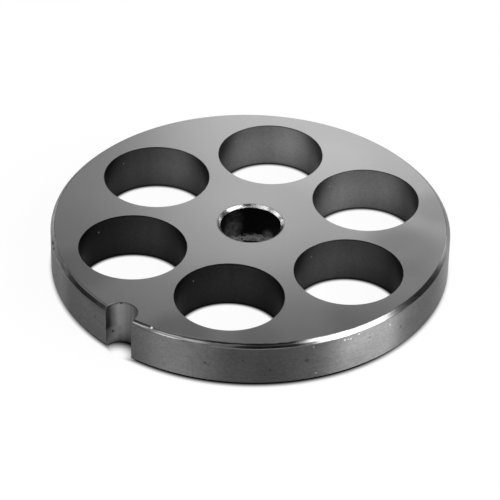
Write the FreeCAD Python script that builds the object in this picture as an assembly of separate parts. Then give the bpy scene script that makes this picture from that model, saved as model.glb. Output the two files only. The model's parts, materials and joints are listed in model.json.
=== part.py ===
import FreeCAD, Part
import math
import os

# A meat grinder plate: one flat disc of ground steel. Meat is pushed through a
# ring of large round holes while a knife turns against the face. The bore in
# the middle runs on the stud of the knife shaft, and a notch in the rim takes
# the key that stops the plate from turning with the knife.
#
# The origin is on the axis of the bore, on the lower face. +Z points to the
# face that the knife sweeps, and the notch is on the -Y side.

# Driving dimensions, in millimetres
plate_diameter = 82.0
plate_thickness = 10.0
rim_chamfer = 0.8         # 45 degrees, on both faces
bore_diameter = 12.5      # runs on a half-inch stud
bore_countersink = 0.55   # 45 degrees, on both faces

hole_count = 6
rim_land = 4.5            # metal left between a hole and the rim
hole_bridge = 3.5         # metal left between two holes side by side

notch_radius = 3.4
notch_inset = 0.85        # from the rim in to the axis of the notch
notch_angle = 270.0       # degrees round from +X, midway between two holes

cutter_overrun = 1.0      # how far a drill runs past each face

# The holes are as large as the land at the rim and the bridges allow
plate_radius = plate_diameter / 2
bore_radius = bore_diameter / 2
half_step = math.sin(math.pi / hole_count)
hole_radius = ((plate_radius - rim_land) * half_step - hole_bridge / 2) / (1 + half_step)
pitch_radius = plate_radius - rim_land - hole_radius
hole_step = 360.0 / hole_count
first_hole_angle = notch_angle + hole_step / 2


def vector(radius, angle, height):
    # a point given by its distance from the axis, its angle and its height
    turn = math.radians(angle)
    return FreeCAD.Vector(radius * math.cos(turn), radius * math.sin(turn), height)


def turned_blank():
    # half of the disc's section, turned once round the axis of the bore
    section = [
        (bore_radius + bore_countersink, 0),
        (plate_radius - rim_chamfer, 0),
        (plate_radius, rim_chamfer),
        (plate_radius, plate_thickness - rim_chamfer),
        (plate_radius - rim_chamfer, plate_thickness),
        (bore_radius + bore_countersink, plate_thickness),
        (bore_radius, plate_thickness - bore_countersink),
        (bore_radius, bore_countersink),
    ]
    points = [FreeCAD.Vector(radius, 0, height) for radius, height in section]
    outline = Part.makePolygon(points + points[:1])
    axis = FreeCAD.Vector(0, 0, 1)
    return Part.Face(outline).revolve(FreeCAD.Vector(0, 0, 0), axis, 360)


def drill(radius, distance, angle):
    # a cylinder through the whole thickness, at a place round the axis
    foot = vector(distance, angle, -cutter_overrun)
    return Part.makeCylinder(radius, plate_thickness + 2 * cutter_overrun, foot)


def meat_holes():
    angles = [first_hole_angle + i * hole_step for i in range(hole_count)]
    return [drill(hole_radius, pitch_radius, angle) for angle in angles]


def key_notch():
    return drill(notch_radius, plate_radius - notch_inset, notch_angle)


def grinder_plate():
    # the sharp edges of the holes are left by grinding both faces flat
    return turned_blank().cut(meat_holes() + [key_notch()])


plate = grinder_plate().Solids[0]
print("holes: %.2f mm on a %.2f mm circle" % (2 * hole_radius, 2 * pitch_radius))
print("valid %s, volume %.1f mm3" % (plate.isValid(), plate.Volume))

os.makedirs("parts", exist_ok=True)
plate.exportStep("parts/grinder_plate.step")
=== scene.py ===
import bpy
import json
import math
from mathutils import Matrix, Vector


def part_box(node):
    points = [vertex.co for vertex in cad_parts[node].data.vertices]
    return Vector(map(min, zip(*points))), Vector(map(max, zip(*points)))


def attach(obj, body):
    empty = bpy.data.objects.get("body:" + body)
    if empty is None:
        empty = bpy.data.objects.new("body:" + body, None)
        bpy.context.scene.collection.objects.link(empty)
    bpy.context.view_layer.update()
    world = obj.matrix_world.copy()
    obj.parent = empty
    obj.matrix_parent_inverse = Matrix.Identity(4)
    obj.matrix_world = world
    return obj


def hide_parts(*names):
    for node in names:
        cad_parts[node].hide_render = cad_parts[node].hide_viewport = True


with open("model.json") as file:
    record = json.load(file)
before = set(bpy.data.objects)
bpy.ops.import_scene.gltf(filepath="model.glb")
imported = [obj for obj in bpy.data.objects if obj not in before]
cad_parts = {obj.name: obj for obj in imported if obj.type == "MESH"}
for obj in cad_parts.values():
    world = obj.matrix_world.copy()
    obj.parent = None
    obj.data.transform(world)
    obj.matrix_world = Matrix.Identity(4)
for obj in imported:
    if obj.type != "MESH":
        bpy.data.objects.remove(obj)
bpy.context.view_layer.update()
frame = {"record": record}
mm = 0.001

# The plate's sizes, in millimetres
mounts = {mount["name"]: mount for mount in frame["record"]["mounts"]}
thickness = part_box("grinder_plate")[1].z / mm
rimRadius = mounts["rim"]["dims"]["r_mm"]
rimChamfer = (thickness - mounts["rim"]["dims"]["length_mm"]) / 2
boreRadius = mounts["stud_bore"]["dims"]["r_mm"]
boreSink = (thickness - mounts["stud_bore"]["dims"]["length_mm"]) / 2
notchDistance = abs(mounts["key_notch"]["pos_m"][1]) / mm
notchRadius = 3.4
holeCount = 6
holeRadius = 11
pitchRadius = 25.5


# Places on the plate. Turns are in degrees from the notch, anticlockwise from above.

def around(turn, radius, height):
    # a place from its turn, its radius and its height
    a = math.radians(turn)
    return (radius * math.sin(a), -radius * math.cos(a), height)


def toward(x, y, turn):
    # how far a place lies from the axis, towards a turn
    a = math.radians(turn)
    return x * math.sin(a) - y * math.cos(a)


# Node trees, with sums written as Python expressions

class Wire:
    # one socket of a tree
    def __init__(self, nodes, socket):
        self.nodes, self.socket = nodes, socket

    def __add__(self, other):
        return self.nodes.maths("ADD", self, other)

    def __radd__(self, other):
        return self.nodes.maths("ADD", other, self)

    def __sub__(self, other):
        return self.nodes.maths("SUBTRACT", self, other)

    def __rsub__(self, other):
        return self.nodes.maths("SUBTRACT", other, self)

    def __mul__(self, other):
        return self.nodes.maths("MULTIPLY", self, other)

    def __rmul__(self, other):
        return self.nodes.maths("MULTIPLY", other, self)

    def __truediv__(self, other):
        return self.nodes.maths("DIVIDE", self, other)

    def __gt__(self, other):
        return self.nodes.maths("GREATER_THAN", self, other)


class Nodes:
    # a tree that is being written
    def __init__(self, tree):
        self.tree = tree

    def add(self, kind, settings=None, inputs=None, output=0):
        # settings come before inputs; an input is a value, a wire or a list of wires
        node = self.tree.nodes.new(kind)
        for name, value in (settings or {}).items():
            setattr(node, name, value)
        for name, value in (inputs or {}).items():
            for one in value if isinstance(value, list) else [value]:
                if isinstance(one, Wire):
                    self.tree.links.new(one.socket, node.inputs[name])
                else:
                    node.inputs[name].default_value = one
        return Wire(self, node.outputs[output])

    def maths(self, operation, *values):
        return self.add("ShaderNodeMath", {"operation": operation}, dict(enumerate(values)))

    def vectorMaths(self, operation, first, second, output=0):
        return self.add("ShaderNodeVectorMath", {"operation": operation}, {0: first, 1: second}, output)

    def point(self, **parts):
        return self.add("ShaderNodeCombineXYZ", None, parts)

    def parts(self, vector):
        outputs = self.add("ShaderNodeSeparateXYZ", None, {"Vector": vector}).socket.node.outputs
        return [Wire(self, socket) for socket in outputs]

    def away(self, place, centre):
        return self.vectorMaths("DISTANCE", place, centre, "Value")

    def most(self, wires):
        # the greatest of several values
        greatest = wires[0]
        for wire in wires[1:]:
            greatest = self.maths("MAXIMUM", greatest, wire)
        return greatest

    def ramp(self, value, low, high, atLow=0.0, atHigh=1.0):
        # a soft step from one value to another
        return self.add("ShaderNodeMapRange", {"interpolation_type": "SMOOTHSTEP"},
                        {"Value": value, "From Min": low, "From Max": high,
                         "To Min": atLow, "To Max": atHigh})

    def noise(self, place, scale, detail, seed):
        # soft noise from 0 to 1 with its middle at a half; scale counts patches in a millimetre
        return self.add("ShaderNodeTexNoise", {"noise_dimensions": "4D"},
                        {"Vector": self.vectorMaths("MULTIPLY", place, scale), "W": seed,
                         "Scale": 1.0, "Detail": detail})

    def spot(self, place, centre, size, core=0.35):
        # 1 in a spot's core, falling to 0 at its edge
        return self.ramp(self.away(place, centre), size * core, size, 1.0, 0.0)

    def spots(self, place, radius, listed):
        # pits or specks on a round wall, listed by turn, height and size
        return self.most([self.spot(place, around(turn, radius, height), size)
                          for turn, height, size in listed])

    def band(self, value, low, high, soft):
        # 1 between two values, with soft ends
        half = soft / 2
        return (self.ramp(value, low - half, low + half)
                * self.ramp(value, high - half, high + half, 1.0, 0.0))

    def streaked(self, grey, turn, height, streaks, soft):
        # streaks go from a turn to a turn and from a height to a height; the last value is
        # how much lighter or darker they are
        softTurn, softHeight = soft
        for fromTurn, toTurn, low, high, change in streaks:
            streak = self.band(turn, fromTurn, toTurn, softTurn) * self.band(height, low, high, softHeight)
            grey = grey * (1 + (change - 1) * streak)
        return grey

    def blackToWhite(self, value):
        return self.add("ShaderNodeMix", {"data_type": "RGBA"},
                        {"Factor": value, 6: (0, 0, 0, 1), 7: (1, 1, 1, 1)}, output=2)

    def platePlace(self):
        # the place on the plate or the floor, in millimetres
        place = self.add("ShaderNodeTexCoord", output="Object")
        return self.vectorMaths("MULTIPLY", place, (1 / mm,) * 3)

    def turnOf(self, place):
        x, y = self.parts(place)[:2]
        return self.maths("ARCTAN2", x, 0 - y) * math.degrees(1)

    def fromHole(self, place):
        # the place, counted from the axis of the nearest hole
        x, y = self.parts(place)[:2]
        step = 2 * math.pi / holeCount
        angle = self.maths("ROUND", self.maths("ARCTAN2", y, x) / step) * step
        centre = self.point(X=pitchRadius * self.maths("COSINE", angle),
                            Y=pitchRadius * self.maths("SINE", angle))
        return self.vectorMaths("SUBTRACT", place, centre)


# Metals. Each look has the metal's greys and roughness, its noises (patches in a millimetre
# along each axis, detail and seed), and how much each noise changes the grey and the roughness.

class Metal(Nodes):
    # a metal that is being written from its look
    def __init__(self, name, look):
        self.look = look
        self.material = bpy.data.materials.new(name)
        self.material.use_nodes = True
        super().__init__(self.material.node_tree)
        self.shader = self.tree.nodes["Principled BSDF"].inputs
        self.shader["Metallic"].default_value = 1
        self.shader["Anisotropic"].default_value = look.get("grain", 0)
        self.shader["Anisotropic Rotation"].default_value = 0.25  # spreads light across the turned lines
        self.shader["Specular Tint"].default_value = (look.get("grazing", 1),) * 3 + (1,)
        self.place = self.platePlace()
        self.x, self.y, self.z = self.parts(self.place)
        self.noises = {kind: self.noise(self.place, *given) for kind, given in look["noises"].items()}

    def varied(self, value, changes):
        # a value, changed by the look's noises
        for name, change in self.look[changes].items():
            value = value + change * (self.noises[name] - 0.5)
        return value

    def feed(self, name, wire):
        self.tree.links.new(wire.socket, self.shader[name])

    def paintedFootShade(self, grey):
        # painted shade: the thin dark line along the foot, made dark, and no metal
        low, high, tone = self.look["foot"]
        self.shader["Specular IOR Level"].default_value = 0
        self.feed("Metallic", self.ramp(self.z, low, high))
        return grey * self.ramp(self.z, low, high, tone, 1.0)

    def finished(self, grey, height):
        # feeds what varies: the colour, the roughness and the bump
        self.feed("Base Color", self.blackToWhite(grey))
        self.feed("Roughness", self.varied(self.look["roughness"], "roughnessBy"))
        self.feed("Normal", self.add("ShaderNodeBump", None,
                                     {"Height": height, "Distance": self.look["relief"] * mm}))
        return self.material


groundLook = {
    "grey": 0.42, "roughness": 0.3, "relief": 0.002,
    "noises": {"clouds": ((0.05, 0.05, 0.05), 3, 0), "fine": ((2.5, 2.5, 2.5), 2, 3)},
    "wheel": (-70, 60, 0), "wheelLines": ((5, 1, 1), 3, 7),  # arcs of the grinding wheel round a point
    "greyBy": {"clouds": 0.2, "fine": 0.12, "wheelLines": 0.1},
    "roughnessBy": {"clouds": 0.05, "wheelLines": 0.04},
    "boreLine": (6.85, 7.1, 0.55),  # a dark line round the bore: radii between which it ends, its tone
    # faint patches: x, y, size and how dark, with less than 0 for a lighter one
    "stains": [(24.6, 15.3, 7.5, 0.1), (34.4, -24.1, 28, 0.22), (-27, -32, 20, 0.1),
               (29.5, 13.5, 11.5, 0.26), (38.5, 4, 11, 0.2), (37, -10, 10, 0.2), (26, 29.5, 8, 0.2),
               (-15.5, -35.5, 10, 0.2), (12.5, -37.5, 9, 0.28), (25.5, -28.4, 6, 0.13),
               (-3, -6, 22, -0.13), (-2, 27, 14, -0.09)],
}


def groundFace(look):
    metal = Metal("groundFace", look)
    arcs = metal.point(X=metal.away(metal.place, look["wheel"]), Y=metal.z)
    metal.noises["wheelLines"] = metal.noise(arcs, *look["wheelLines"])
    grey = look["grey"] * metal.varied(1, "greyBy")
    for x, y, size, dark in look["stains"]:
        grey = grey * (1 - dark * metal.spot(metal.place, (x, y, thickness), size))
    low, high, tone = look["boreLine"]
    grey = grey * metal.ramp(metal.away(metal.place, (0, 0, thickness)), low, high, tone, 1.0)
    return metal.finished(grey, metal.noises["wheelLines"])


rimLook = {
    "grey": 0.19, "roughness": 0.5, "relief": 0.004,
    "grain": 1.0,  # how much the turned lines spread the light
    "grazing": 0.85,  # how bright the metal is where light skims it
    "foot": (0.75, 1.0, 0.05),  # painted shade at the foot: heights between which it ends, its tone
    "noises": {"lines": ((0.12, 0.12, 7), 3, 1), "scratches": ((0.3, 0.3, 14), 1, 5),
               "mottle": ((1.5, 1.5, 2.2), 4, 2), "patches": ((0.16, 0.16, 0.25), 2, 4)},
    "greyBy": {"lines": 0.35, "scratches": 0.3, "mottle": 0.8, "patches": 0.3},
    "roughnessBy": {"mottle": 0.06},
    # painted light and shade in lighter and darker stretches: turns from and to, heights from and to,
    # change
    "tones": [(-60, -40, -1, 11, 1.25), (-40, -25, -1, 11, 1.8), (-20, -4, 8.5, 11, 0.75),
              (31, 59, -1, 11, 0.66), (40, 54, -1, 11, 0.85), (55, 64, -1, 11, 0.85),
              (64, 86, 6, 11, 1.12), (64, 74, -1, 4, 0.85), (80, 130, -1, 11, 1.4)],
    "softEnds": (8, 3),  # how soft the ends of the tones are, in degrees and in millimetres
    # pits and bright specks: turn, height and size
    "pits": [(27.1, 4.9, 0.5), (28.0, 4.5, 0.3), (45.0, 4.0, 0.4), (55.2, 5.5, 0.7), (86.4, 5.4, 0.5),
             (-9.2, 5.9, 0.35), (37.6, 6.2, 0.3), (43.6, 2.8, 0.3), (74.5, 6.8, 0.4), (-37.8, 9.2, 0.45),
             (-39.8, 9.0, 0.4)],
    "pitsDark": 0.4,
    "specks": [(-28.4, 6.7, 0.25), (57.0, 8.5, 0.25), (58.0, 1.9, 0.25), (70.8, 8.7, 0.25),
               (66.3, 8.4, 0.28), (67.4, 8.3, 0.2), (68.2, 8.2, 0.24), (81.8, 7.5, 0.2)],
    "specksBright": 0.35,
}


def turnedRim(look):
    metal = Metal("turnedRim", look)
    pits = metal.spots(metal.place, rimRadius, look["pits"])
    specks = metal.spots(metal.place, rimRadius, look["specks"])
    grey = look["grey"] * metal.varied(1, "greyBy") * (1 - look["pitsDark"] * pits)
    grey = grey + look["specksBright"] * specks
    turn = metal.turnOf(metal.place)
    # painted light and shade round the rim
    grey = metal.streaked(grey, turn, metal.z, look["tones"], look["softEnds"])
    return metal.finished(metal.paintedFootShade(grey), metal.noises["lines"] - pits)


chamferLook = {
    "grey": 0.22, "roughness": 0.3, "relief": 0.006, "grain": 0.9,
    "foot": (1.0, 1.2, 0.03),  # painted shade at the foot; the lower chamfer lies in it
    "noises": {"lines": ((0.06, 0.06, 5), 3, 11), "wear": ((0.5, 0.5, 3), 3, 12),
               "brush": ((0.05, 0.05, 9), 2, 13)},
    "greyBy": {"lines": 0.5, "wear": 0.4},
    "roughnessBy": {"wear": 0.15},
    # the streaks end like brush strokes, so noises shift them, in degrees and in millimetres
    "turnBy": {"brush": 9}, "depthBy": {"wear": 0.1}, "softEnds": (3, 0.06),
    # streaks along the chamfer, the tool's marks with painted highlights and dark reflections:
    # turns from and to, depths below the face from and to, and how much lighter or darker than the rest
    "streaks": [(-76, -44, -0.20, 0.90, 0.5), (-40, -26, -0.20, 0.27, 2.4), (-40, -30, 0.27, 0.90, 2.5),
                (-31, -24, 0.27, 0.90, 1.6), (-24, -4, 0.21, 0.90, 0.25), (-20, -5, 0.21, 0.78, 0.42),
                (-24, -4, -0.20, 0.05, 1.35), (-27, -19, 0.10, 0.40, 0.7), (-3, 11, -0.10, 0.20, 0.35),
                (-3, 10, 0.32, 0.50, 2.5), (11, 34, 0.04, 0.26, 0.35), (12, 28, 0.30, 0.38, 1.7),
                (12, 19, 0.42, 0.54, 0.8), (12, 19, 0.57, 0.69, 2.3), (19, 28, 0.42, 0.54, 1.7),
                (19, 28, 0.60, 0.90, 0.65), (28, 53, 0.02, 0.20, 0.15), (30, 40, 0.26, 0.38, 1.2),
                (35, 54, 0.44, 0.74, 0.2), (38, 52, 0.10, 0.80, 0.45), (51, 57.5, 0.50, 0.85, 0.35),
                (55.5, 58.5, -0.10, 0.42, 2.2), (58, 68, -0.10, 0.80, 2.3), (82, 86, -0.10, 0.90, 0.65),
                (85, 109, -0.10, 0.90, 0.6), (92, 106, 0.60, 0.80, 0.75), (84, 94, -0.10, 0.90, 1.3),
                (18.5, 27.5, 0.06, 0.28, 0.55), (18.5, 21.5, 0.30, 0.80, 0.7), (6, 12.5, 0.10, 0.80, 0.72),
                (2, 9, 0.36, 0.56, 1.9), (50, 58, -0.10, 0.80, 1.1), (105, 130, -0.10, 0.90, 1.25),
                (50, 54.5, 0.00, 0.50, 0.5), (36, 52, 0.18, 0.42, 0.6), (6, 22, 0.70, 1.00, 0.6),
                (-40, -12, 0.66, 1.00, 0.65), (-9.5, -2, 0.20, 0.80, 1.9)],
    "pits": [(-37.8, 40.9, 9.25, 0.42), (-40.2, 40.8, 9.3, 0.42)],  # turn, radius, height and size
    "pitsDark": 0.95,
    "dent": (10.9, 40.4, 9.85), "dentSize": 0.32, "dentBright": 0.8,
}


def chamferTurned(look):
    metal = Metal("chamfer", look)
    turn = metal.varied(metal.turnOf(metal.place), "turnBy")
    depth = metal.varied(thickness - metal.z, "depthBy")
    grey = look["grey"] * metal.varied(1, "greyBy")
    # the tool's streaks, with painted highlights and dark reflections
    grey = metal.streaked(grey, turn, depth, look["streaks"], look["softEnds"])
    pits = metal.most([metal.spot(metal.place, around(*pit), size) for *pit, size in look["pits"]])
    grey = grey * (1 - look["pitsDark"] * pits)
    dent = metal.spot(metal.place, around(*look["dent"]), look["dentSize"])
    grey = grey + look["dentBright"] * dent
    return metal.finished(metal.paintedFootShade(grey), metal.noises["lines"])


wallLook = {
    "roughness": 0.36, "relief": 0.004, "grazing": 0.7,
    "noises": {"drawn": ((0.5, 0.5, 0.06), 3, 21), "mottle": ((1.6, 1.6, 1.6), 3, 22)},
    "greyBy": {"drawn": 0.3, "mottle": 0.5},
    "roughnessBy": {"mottle": 0.08},
    # the scale gets painted light and shade across the plate: darkest towards one turn of the plate
    # and lightest across from it
    "darkest": 0.0115, "lightest": 0.36, "darkTurn": 0,
    # and painted lighter on one side of each hole, as light falls there: its turn, and the cosines
    # where the lighter side starts and where it is full
    "litSideTurn": -135, "litSideFrom": (0.47, 0.97), "litSide": 0.55,
    # painted light on sides of each hole that get lighter towards a turn of the plate: the side's
    # turn and cosines, the plate's turn and how much
    "uneven": [(165, 0.35, 0.95, -90, 0.4), (-85, 0.55, 0.95, 150, 0.33)],
    # tones up the wall, darker towards the foot as painted shade, and darker at the top edge: heights from
    # and to, tones from and to
    "upTheWall": [(0.0, 0.5, 0.25, 1.0), (0.5, 6, 0.75, 1.0), (9.6, 10, 1.0, 0.3)],
    # a small painted glint at the same place in each hole
    "glint": (-10.85, 1.75, 7.5), "glintSize": 0.22, "glintBright": 0.25,
}


def holeWall(look):
    # the walls are dark, made as scale, with painted light and shade across the plate and round each hole
    metal = Metal("holeWall", look)
    inHole = metal.fromHole(metal.place)
    u, v = metal.parts(inHole)[:2]
    # painted light and shade: the wall's grey goes from darkest to lightest across the plate
    plateSide = toward(metal.x, metal.y, look["darkTurn"]) / rimRadius * 0.5 + 0.5
    scale = look["lightest"] * metal.maths("POWER", look["darkest"] / look["lightest"], plateSide)
    low, high = look["litSideFrom"]
    # painted light on one side of each hole
    wallSide = toward(u, v, look["litSideTurn"]) / holeRadius
    scale = scale * metal.ramp(wallSide, low, high, 1 - look["litSide"], 1.0)
    for wallTurn, low, high, plateTurn, change in look["uneven"]:
        wallSide = metal.ramp(toward(u, v, wallTurn) / holeRadius, low, high)
        holeSide = toward(metal.x - u, metal.y - v, plateTurn) / pitchRadius
        scale = scale * (1 + change * holeSide * wallSide)
    for low, high, atLow, atHigh in look["upTheWall"]:
        scale = scale * metal.ramp(metal.z, low, high, atLow, atHigh)
    glint = metal.spot(inHole, look["glint"], look["glintSize"])
    grey = scale * metal.varied(1, "greyBy") + look["glintBright"] * glint
    return metal.finished(grey, metal.noises["mottle"])


boreLook = {
    # the wall: near black above as painted shade, and painted lighter low down by the floor's light,
    # mottled by its roughness
    "scale": 0.004, "floorLit": 0.24, "roughness": 0.5, "relief": 0.02,
    "noises": {"mottle": ((1.1, 1.1, 1.4), 5, 31)},
    "contrast": (0.25, 0.75),  # the mottling is stretched between these
    "roughnessBy": {"mottle": 0.2},
    # height up to which the wall is painted lighter by the floor's light, where that is lowest and across
    # from there
    "floorLitTo": (2.45, 7.65), "lowTurn": -141,
    "floorLitFrom": (0.85, 1.2),  # heights between which the painted light begins
    "softEdge": 0.3, "heightBy": {"mottle": 1.2},  # how soft and how ragged its upper edge is
    "floorLitTones": (0.35, 1.65),  # least and most, by the mottling
    # higher patches of painted light (turn, height, size and share), and pits (turn, height and size)
    "patches": [(-101, 4.8, 3.2, 0.3), (-104, 7.2, 3.2, 0.1), (-103, 3.4, 2.4, 0.3), (180, 3.0, 2.1, 0.4)],
    "pits": [(-125.3, 1.6, 0.35), (-130.5, 1.0, 0.4)],
    "pitsDark": 0.9,
}


def boreWall(look):
    metal = Metal("boreWall", look)
    mottle = metal.noises["mottle"] = metal.ramp(metal.noises["mottle"], *look["contrast"])
    least, most = look["floorLitTo"]
    side = toward(metal.x, metal.y, look["lowTurn"]) / boreRadius  # 1 where the painted light reaches lowest
    above = metal.varied(metal.z, "heightBy") - (least + (most - least) * (1 - side) / 2)
    floorLit = [metal.ramp(above, -look["softEdge"], look["softEdge"], 1.0, 0.0)]
    for turn, height, size, share in look["patches"]:
        floorLit.append(share * metal.spot(metal.place, around(turn, boreRadius, height), size))
    darkest, lightest = look["floorLitTones"]
    # painted light, mottled by the rough wall
    floorLit = metal.most(floorLit) * (darkest + (lightest - darkest) * mottle)
    floorLit = floorLit * metal.ramp(metal.z, *look["floorLitFrom"])
    pits = metal.spots(metal.place, boreRadius, look["pits"])
    grey = (look["scale"] + look["floorLit"] * floorLit) * (1 - look["pitsDark"] * pits)
    return metal.finished(grey, mottle)


sinkLook = {
    "grey": 0.6, "brightest": 0.95, "roughness": 0.25, "relief": 0.02,
    "noises": {"lines": ((0.35, 0.35, 6), 3, 41)},
    "lineTones": (0.3, 0.5, 0.7, 1.2),  # the noise from and to, the tones from and to
    "roughnessBy": {"lines": 0.2},
    # painted dark reflections and highlights in streaks: turns from and to, depths from and to, and the
    # change
    "streaks": [(-142, -126, -0.1, 0.3, 0.2), (-126, -98, -0.1, 0.15, 0.3), (-126, -98, 0.2, 0.36, 0.8),
                (-126, -90, 0.36, 0.6, 0.3), (-95, -65, -0.1, 0.6, 0.35), (100, 142, -0.1, 0.6, 0.25),
                (142, 190, -0.1, 0.22, 3.2), (142, 190, 0.3, 0.6, 2.0), (-190, -142, -0.1, 0.22, 2.8),
                (-190, -142, 0.22, 0.6, 2.0)],
    "turnBy": {"lines": 10}, "softEnds": (8, 0.1),
}


def countersinkPolished(look):
    # polished, with painted highlights and dark reflections in streaks round the bore
    metal = Metal("countersink", look)
    grey = look["grey"] * metal.ramp(metal.noises["lines"], *look["lineTones"])
    turn = metal.varied(metal.turnOf(metal.place), "turnBy")
    grey = metal.streaked(grey, turn, thickness - metal.z, look["streaks"], look["softEnds"])
    return metal.finished(metal.maths("MINIMUM", grey, look["brightest"]), metal.noises["lines"])


notchLook = {
    "grey": 0.23, "roughness": 0.45, "relief": 0.01,
    "foot": (0.1, 0.6, 0.05),  # painted shade at the foot: heights between which it ends, its tone
    "noises": {"strokes": ((2.2, 2.2, 0.15), 3, 51), "mottle": ((0.9, 0.9, 0.9), 3, 52)},
    "greyBy": {"strokes": 0.25, "mottle": 0.4},
    "roughnessBy": {"mottle": 0.1},
    # painted light and shade in stripes up the notch: turns round the notch from and to, heights from and
    # to, change
    "stripes": [(-101, -60, 4.5, 9.8, 0.42), (-136, -104, 4.2, 9.8, 1.45), (-128, -60, -1, 4.2, 1.7),
                (-195, -152, 0, 9.8, 0.75), (-200, 0, 9.7, 11, 0.4), (0, 200, 9.7, 11, 0.4)],
    "softEnds": (18, 0.6),
    "pits": [(-111, 3.1, 0.4), (-140, 9.7, 0.3)],
    "pitsDark": 0.8,
}


def notchMilled(look):
    metal = Metal("notchWall", look)
    inNotch = metal.vectorMaths("ADD", metal.place, (0, notchDistance, 0))
    pits = metal.spots(inNotch, notchRadius, look["pits"])
    grey = look["grey"] * metal.varied(1, "greyBy") * (1 - look["pitsDark"] * pits)
    # painted light and shade in stripes up the notch
    grey = metal.streaked(grey, metal.turnOf(inNotch), metal.z, look["stripes"], look["softEnds"])
    return metal.finished(metal.paintedFootShade(grey), metal.noises["strokes"])


finishes = {
    "Face": groundFace(groundLook),
    "Rim": turnedRim(rimLook),
    "Chamfer": chamferTurned(chamferLook),
    "Wall": holeWall(wallLook),
    "Bore": boreWall(boreLook),
    "Countersink": countersinkPolished(sinkLook),
    "Notch": notchMilled(notchLook),
}
print("metals written:", ", ".join(material.name for material in finishes.values()))


# The plate: a turned blank with the bore, the holes and the notch cut out of it

plateShape = {
    # in millimetres
    "lengths": {
        "Radius": rimRadius,
        "Thickness": thickness,
        "Rim Chamfer": rimChamfer,
        "Chamfer Round": 0.25,
        "Bore Radius": boreRadius,
        "Sink Depth": boreSink,
        "Hole Radius": holeRadius,
        "Pitch Radius": pitchRadius,
        "Edge Break": 0.06,
        "Notch Radius": notchRadius,
        "Notch Distance": notchDistance,
        "Notch Edge": 0.08,
        "Overrun": 0.5,  # how far the cutters reach past the faces
        "Merge Distance": 0.002,
    },
    # in degrees: edges that bend more stay sharp, and a ground face leans less than this
    "angles": {
        "Sharp Above": 25,
        "Flat Within": 0.8,
    },
    "counts": {
        "Hole Count": holeCount,
        "Rim Segments": 360,
        "Hole Segments": 144,
        "Bore Segments": 96,
        "Notch Segments": 96,
    },
}


def lifted(nodes, part, height, material):
    part = nodes.add("GeometryNodeTransform", None,
                     {"Geometry": part, "Translation": nodes.point(Z=height)})
    return nodes.add("GeometryNodeSetMaterial", None, {"Geometry": part, "Material": material})


def turnedSolid(nodes, stations, materials, capMaterial, segments, merge):
    # a closed solid of cone bands between (radius, height) stations, with a flat cap at each end
    parts = []
    for (r0, z0), (r1, z1), material in zip(stations, stations[1:], materials):
        band = nodes.add("GeometryNodeMeshCone", {"fill_type": "NONE"},
                         {"Vertices": segments, "Radius Bottom": r0, "Radius Top": r1, "Depth": z1 - z0})
        parts.append(lifted(nodes, band, z0, material))
    for (radius, height), under in ((stations[0], True), (stations[-1], False)):
        cap = nodes.add("GeometryNodeMeshCircle", {"fill_type": "NGON"},
                        {"Vertices": segments, "Radius": radius})
        if under:
            cap = nodes.add("GeometryNodeFlipFaces", None, {"Mesh": cap})
        parts.append(lifted(nodes, cap, height, capMaterial))
    joined = nodes.add("GeometryNodeJoinGeometry", None, {"Geometry": parts[::-1]})
    return nodes.add("GeometryNodeMergeByDistance", None, {"Geometry": joined, "Distance": merge})


def arcStations(radius, height, rounding, fromAngle, toAngle, steps=6):
    # stations along an arc of the section, with angles in degrees down from straight up
    angles = [math.radians(fromAngle + (toAngle - fromAngle) * i / steps) for i in range(steps + 1)]
    return [(radius + rounding * math.sin(a), height + rounding * math.cos(a)) for a in angles]


def heldStations(start, end, shares=(0.04, 0.96)):
    # two stations close to the ends of a straight band, which keep its shading straight
    return [tuple(a + (b - a) * share for a, b in zip(start, end)) for share in shares]


def blankStations(given):
    # the rim's section, from the lower face up: chamfer, rim, chamfer, each with rounded corners
    radius, height = given["Radius"], given["Thickness"]
    chamfer, rounding = given["Rim Chamfer"], given["Chamfer Round"]
    tangent = rounding * math.tan(math.radians(45 / 2))
    outer, inner = radius - rounding, radius - chamfer - tangent
    arcs = [arcStations(inner, rounding, rounding, 180, 135),
            arcStations(outer, chamfer + tangent, rounding, 135, 90),
            arcStations(outer, height - chamfer - tangent, rounding, 90, 45),
            arcStations(inner, height - rounding, rounding, 45, 0)]
    stations = arcs[0]
    for arc in arcs[1:]:
        stations = stations + heldStations(stations[-1], arc[0]) + arc
    return stations


def blankSolid(nodes, given):
    stations = blankStations(given)
    bands = len(stations) - 1
    middle = bands // 2
    # the rim is the straight band in the middle, with its two short ends
    materials = [given["Rim"] if abs(i - middle) < 2 else given["Chamfer"] for i in range(bands)]
    return turnedSolid(nodes, stations, materials, given["Face"], given["Rim Segments"],
                       given["Merge Distance"])


def cutterSolid(nodes, given, radius, edge, wall, bevel, segments):
    # a cutter that also breaks the edges where it enters and leaves
    height, over = given["Thickness"], given["Overrun"]
    ends = radius + edge + over
    stations = [(ends, 0 - over), (radius, edge), (radius, height - edge), (ends, height + over)]
    return turnedSolid(nodes, stations, [bevel, wall, bevel], wall, segments, given["Merge Distance"])


def plateCutters(nodes, given):
    bore = cutterSolid(nodes, given, given["Bore Radius"], given["Sink Depth"], given["Bore"],
                       given["Countersink"], given["Bore Segments"])
    hole = cutterSolid(nodes, given, given["Hole Radius"], given["Edge Break"], given["Wall"],
                       given["Wall"], given["Hole Segments"])
    ring = nodes.add("GeometryNodeMeshCircle", None,
                     {"Vertices": given["Hole Count"], "Radius": given["Pitch Radius"]})
    holes = nodes.add("GeometryNodeInstanceOnPoints", None, {"Points": ring, "Instance": hole})
    holes = nodes.add("GeometryNodeRealizeInstances", None, {"Geometry": holes})
    notch = cutterSolid(nodes, given, given["Notch Radius"], given["Notch Edge"], given["Notch"],
                        given["Notch"], given["Notch Segments"])
    notch = nodes.add("GeometryNodeTransform", None,
                      {"Geometry": notch, "Translation": nodes.point(Y=0 - given["Notch Distance"])})
    return [bore, holes, notch]


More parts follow.
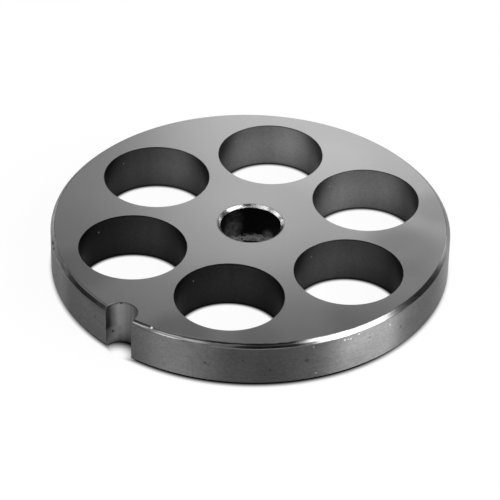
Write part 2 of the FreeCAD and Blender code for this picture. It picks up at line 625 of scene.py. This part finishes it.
def plateTree(shape):
    nodes = Nodes(bpy.data.node_groups.new("plateShape", "GeometryNodeTree"))
    sockets = nodes.tree.interface
    sockets.new_socket("Geometry", in_out="OUTPUT", socket_type="NodeSocketGeometry")
    kinds = (("Float", shape["lengths"]), ("Float", shape["angles"]), ("Int", shape["counts"]),
             ("Material", finishes))
    for kind, names in kinds:
        for name in names:
            sockets.new_socket(name, in_out="INPUT", socket_type="NodeSocket" + kind)
    entry = nodes.tree.nodes.new("NodeGroupInput")
    given = {socket.name: Wire(nodes, socket) for socket in entry.outputs if socket.name}

    plate = nodes.add("GeometryNodeMeshBoolean", {"operation": "DIFFERENCE", "solver": "EXACT"},
                      {"Mesh 1": blankSolid(nodes, given), "Mesh 2": plateCutters(nodes, given)})
    upright = nodes.parts(nodes.add("GeometryNodeInputNormal"))[2]
    flat = nodes.maths("ABSOLUTE", upright) > nodes.maths("COSINE", given["Flat Within"])
    plate = nodes.add("GeometryNodeSetShadeSmooth", {"domain": "FACE"},
                      {"Geometry": plate, "Shade Smooth": 1 - flat})
    bend = nodes.add("GeometryNodeInputMeshEdgeAngle")
    plate = nodes.add("GeometryNodeSetShadeSmooth", {"domain": "EDGE"},
                      {"Geometry": plate, "Selection": bend > given["Sharp Above"], "Shade Smooth": False})
    plate = nodes.add("GeometryNodeRealizeInstances", None, {"Geometry": plate})
    plate = nodes.add("GeometryNodeSetMaterial", None,
                      {"Geometry": plate, "Selection": flat, "Material": given["Face"]})
    leave = nodes.tree.nodes.new("NodeGroupOutput")
    nodes.tree.links.new(plate.socket, leave.inputs["Geometry"])
    return nodes.tree


def buildPlate(shape):
    tree = plateTree(shape)
    piece = bpy.data.objects.new("plate", bpy.data.meshes.new("blank"))
    bpy.context.scene.collection.objects.link(piece)
    modifier = piece.modifiers.new("plateShape", "NODES")
    modifier.node_group = tree
    values = {**shape["counts"], **finishes}
    values.update({name: length * mm for name, length in shape["lengths"].items()})
    values.update({name: math.radians(angle) for name, angle in shape["angles"].items()})
    for item in tree.interface.items_tree:
        if item.in_out == "INPUT":
            modifier[item.identifier] = values[item.name]
    made = piece.evaluated_get(bpy.context.evaluated_depsgraph_get())
    mesh = bpy.data.meshes.new_from_object(made)
    mesh.name = "plate"
    piece.modifiers.remove(modifier)
    piece.data = mesh
    for i in reversed(range(len(mesh.materials))):
        if mesh.materials[i] is None:
            mesh.materials.pop(index=i)
    return piece


plate = buildPlate(plateShape)
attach(plate, "root")
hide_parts("grinder_plate")
print("plate built with", len(plate.data.polygons), "faces")


# Camera, floor and light

view = {
    # fitted to the outline and the hole edges in the photo
    "azimuth": 38.76,     # degrees round from -Y, where the notch is
    "elevation": 35.55,
    "distance": 0.6058,   # metres from the middle of the upper face
    "lens": 212.6,
    "sensor": 36,
    "tilt": -0.524,
    "roll": 1.324,
    "clip": (0.01, 50),
}


def direction(azimuth, elevation):
    # azimuth is counted from the camera's side, to the right as the camera sees it
    a, e = math.radians(view["azimuth"] + azimuth), math.radians(elevation)
    return Vector((math.sin(a) * math.cos(e), -math.cos(a) * math.cos(e), math.sin(e)))


def makeCamera():
    data = bpy.data.cameras.new("camera")
    data.lens, data.sensor_width = view["lens"], view["sensor"]
    data.clip_start, data.clip_end = view["clip"]
    camera = bpy.data.objects.new("camera", data)
    bpy.context.scene.collection.objects.link(camera)
    back = direction(0, view["elevation"])
    turn = (-back).to_track_quat("-Z", "Y").to_matrix().to_4x4()
    turn = turn @ Matrix.Rotation(math.radians(view["tilt"]), 4, "X")
    turn = turn @ Matrix.Rotation(math.radians(view["roll"]), 4, "Z")
    aim = Vector((0, 0, thickness * mm))
    camera.matrix_world = Matrix.Translation(aim + back * view["distance"]) @ turn
    bpy.context.scene.camera = camera


floorLook = {
    "halfWidth": 6.0,  # in metres
    "white": 0.95,
    # how much of the floor's white is its own, so that shadows fall only on the rest
    "ownToCamera": 0.95, "ownInMetal": 0.3,
    # how far the shade drawn at the plate's foot reaches: round the rim, in the notch, in the holes
    "rimShade": 1.36, "notchShade": 3.3, "holeShade": 1.0,
    "under": 0.14,  # the share of that reach which lies under the plate
    "notchRound": (4.7, 1.3),  # the shade in the notch is round: its radius, how far out its middle is
    "footLine": 0.17, "footLineFades": (70, 95),  # a painted black shadow line round the rim: its width, its turns
}


def whiteFloor(look):
    material = bpy.data.materials.new("whiteFloor")
    material.use_nodes = True
    nodes = Nodes(material.node_tree)
    nodes.tree.nodes.clear()
    toCamera, inMirror, throughGlass = [nodes.add("ShaderNodeLightPath", output=name)
                                        for name in ("Is Camera Ray", "Is Glossy Ray",
                                                     "Is Transmission Ray")]
    own = look["ownToCamera"] * toCamera + look["ownInMetal"] * nodes.most([inMirror, throughGlass])
    place = nodes.platePlace()
    fromAxis = nodes.away(place, (0, 0, 0))
    fadeFrom, fadeTo = look["footLineFades"]
    line = nodes.ramp(nodes.turnOf(place), fadeFrom, fadeTo, look["footLine"], 0.0)
    outside = (fromAxis - (rimRadius - rimChamfer) - line) / look["rimShade"]
    radius, out = look["notchRound"]
    fromNotch = nodes.away(place, (0, -notchDistance - out, 0))
    inNotch = (radius - fromNotch) / look["notchShade"] - look["under"]
    inHole = (holeRadius - nodes.away(nodes.fromHole(place), (0, 0, 0))) / look["holeShade"]
    inBore = (boreRadius - fromAxis) / look["holeShade"]
    # painted shadow on the floor: 0 at the plate's foot and round its openings, 1 where it is clear
    clear = nodes.ramp(nodes.most([outside, inNotch, inHole, inBore]), -look["under"], 1)
    paper = nodes.add("ShaderNodeBsdfDiffuse", None, {"Color": nodes.blackToWhite(clear * look["white"])})
    white = nodes.add("ShaderNodeEmission", None, {"Color": (1, 1, 1, 1), "Strength": clear})
    mixed = nodes.add("ShaderNodeMixShader", None, {0: own, 1: paper, 2: white})
    leave = nodes.tree.nodes.new("ShaderNodeOutputMaterial")
    nodes.tree.links.new(mixed.socket, leave.inputs["Surface"])
    return material


def makeFloor(look):
    half = look["halfWidth"]
    mesh = bpy.data.meshes.new("floor")
    mesh.from_pydata([(-half, -half, 0), (half, -half, 0), (half, half, 0), (-half, half, 0)],
                     [], [(0, 1, 2, 3)])
    mesh.materials.append(whiteFloor(look))
    floor = bpy.data.objects.new("floor", mesh)
    bpy.context.scene.collection.objects.link(floor)


lamps = {
    # azimuth and elevation from the camera's side, distance, width and height in metres, brightness;
    # eight began as a fit to the photo's tones, and five of those were then changed
    "backPanel": (168.6, 26, 0.25, 0.147, 0.097, 1.3),
    "backHighPanel": (182.6, 37.3, 0.25, 0.117, 0.056, 0.42),
    "sidePanel": (132, 24, 0.25, 0.06, 0.06, 4.9),
    "cornerPanel": (205, 28, 0.25, 0.06, 0.06, 0.66),
    "leftBackPanel": (-142, 10, 0.6, 0.16, 0.10, 6.0),
    "rightBox": (65, 27.5, 1.0, 0.53, 0.38, 11.0),
    "rightHighBox": (62, 45, 1.0, 1.0, 0.2, 6.0),
    "leftBox": (-46, 38, 1.0, 0.6, 0.45, 1.2),
    "leftLowBox": (-39, 22, 1.0, 0.4, 0.2, 6.6),
    "topBox": (0, 88, 1.2, 1.0, 1.0, 1.4),
    "frontPanel": (8, 15, 2.0, 2.2, 0.7, 0.75),
    "leftSidePanel": (-93, 28, 0.6, 0.46, 0.17, 1.25),
}
worldGrey = 0.06


def makeLamps():
    for name, (azimuth, elevation, distance, width, height, brightness) in lamps.items():
        data = bpy.data.lights.new(name, "AREA")
        data.shape, data.size, data.size_y = "RECTANGLE", width, height
        data.energy = brightness * math.pi * width * height
        lamp = bpy.data.objects.new(name, data)
        bpy.context.scene.collection.objects.link(lamp)
        back = direction(azimuth, elevation)
        lamp.matrix_world = (Matrix.Translation(back * distance)
                             @ back.to_track_quat("Z", "Y").to_matrix().to_4x4())


def makeWorld(grey):
    world = bpy.data.worlds.new("studio")
    world.use_nodes = True
    world.node_tree.nodes["Background"].inputs["Color"].default_value = (grey, grey, grey, 1)
    bpy.context.scene.world = world


makeCamera()
makeFloor(floorLook)
makeLamps()
makeWorld(worldGrey)
bpy.context.scene.view_settings.view_transform = "Standard"
print("camera, floor and lamps placed")
